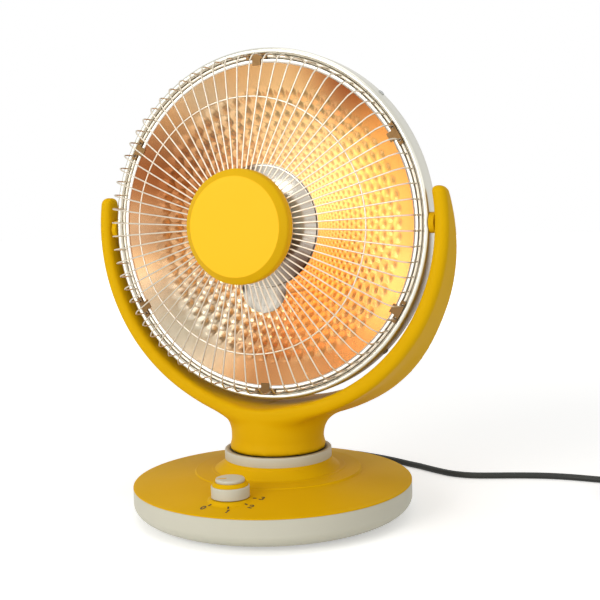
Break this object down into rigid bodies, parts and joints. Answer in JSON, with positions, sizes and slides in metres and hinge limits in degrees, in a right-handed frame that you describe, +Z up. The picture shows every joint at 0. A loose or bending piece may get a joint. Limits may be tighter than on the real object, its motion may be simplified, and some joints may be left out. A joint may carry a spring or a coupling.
{
  "type": "parabolic heater",
  "caption": "Round dish heater on a swivelling yoke and disc base, with a wire guard, hub cap, tilting head, turning knob and mains lead.",
  "frame": {"origin": "centre of the round base, on the floor", "axes": "+Z up, -Y towards the front of the heater, +X to the right as seen from the front camera"},
  "size_m": [0.561, 0.3359, 0.4271],
  "materials": {
    "white_plastic": "moulded, warm white, low gloss",
    "yellow_plastic": "moulded, golden yellow, glossy",
    "black_rubber": "matt black",
    "black_plastic": "satin black",
    "ballast_iron": "plain",
    "plated_steel": "zinc plated",
    "bright_ring": "bright plated, satin",
    "guard_wire": "plated wire",
    "bronze_clip": "dark bronze",
    "gold_reflector": "gold anodised, dimpled",
    "polished_reflector": "polished",
    "ceramic": "unglazed",
    "glowing_wire": "glowing when on",
    "brass": "plain"
  },
  "bodies": {
    "base": {"base_tray": "white_plastic", "collar_ring": "white_plastic", "swivel_bush": "white_plastic", "thrust_washer": "white_plastic", "tip_guide": "white_plastic", "terminal_block": "white_plastic", "base_cover": "yellow_plastic", "rubber_feet": "black_rubber", "cord_gland": "black_rubber", "cord": "black_rubber", "cord_coil": "black_rubber", "plug_body": "black_plastic", "rotary_switch": "black_plastic", "tip_switch": "black_plastic", "base_leads": "black_plastic", "ballast_plate": "ballast_iron", "base_screws": "plated_steel", "swivel_plate": "plated_steel", "swivel_screws": "plated_steel", "swing_motor": "plated_steel", "tip_spring": "plated_steel", "plug_pins": "plated_steel", "switch_nut": "brass"},
    "swivel": {"swivel_spindle": "plated_steel", "sector_gear": "white_plastic", "retaining_clip": "plated_steel", "yoke": "yellow_plastic", "yoke_back": "yellow_plastic", "yoke_screws": "plated_steel", "yoke_lead": "black_plastic"},
    "head": {"tilt_pins": "plated_steel", "tilt_washers": "black_rubber", "pivot_brackets": "plated_steel", "steel_ring": "bright_ring", "reflector_dish": "gold_reflector", "rear_housing": "yellow_plastic", "housing_screws": "plated_steel", "front_guard": "guard_wire", "guard_clips": "bronze_clip", "hub_cap": "yellow_plastic", "hub_plate": "plated_steel", "counter_reflector": "polished_reflector", "terminal_shield": "polished_reflector", "shield_stays": "plated_steel", "element_core": "ceramic", "element_winding": "glowing_wire", "element_base": "ceramic", "element_stem": "plated_steel", "element_terminals": "brass", "thermal_cutout": "black_plastic", "head_leads": "black_plastic"},
    "knob": {"switch_shaft": "brass", "knob_body": "white_plastic", "knob_band": "yellow_plastic", "knob_cap": "white_plastic"},
    "pinion": {"motor_pinion": "white_plastic"},
    "plunger": {"tip_plunger": "white_plastic"}
  },
  "joints": [
    {"name": "swing", "type": "hinge", "parent": "base", "child": "swivel", "pos_m": [0, 0.012, 0.06], "axis": [0, 0, 1], "range_deg": [-35, 35]},
    {"name": "tilt", "type": "hinge", "parent": "swivel", "child": "head", "pos_m": [0, -0.005, 0.267], "axis": [-1, 0, 0], "range_deg": [-15, 25]},
    {"name": "knob_turn", "type": "hinge", "parent": "base", "child": "knob", "pos_m": [0.006, -0.091, 0.045], "axis": [0, 0, -1], "range_deg": [0, 180]},
    {"name": "motor_spin", "type": "hinge", "parent": "base", "child": "pinion", "pos_m": [-0.04, 0.012, 0.032], "axis": [0, 0, 1], "range_deg": [-145, 145]},
    {"name": "tip_plunger_slide", "type": "slide", "parent": "base", "child": "plunger", "axis": [0, 0, -1], "range_m": [0, 0.004], "stiffness_N_per_m": 80, "springref_m": 0.006, "deforming": ["tip_spring"]}
  ],
  "couplings": [
    {"joint": "motor_spin", "follows": "swing", "ratio": -4}
  ]
}
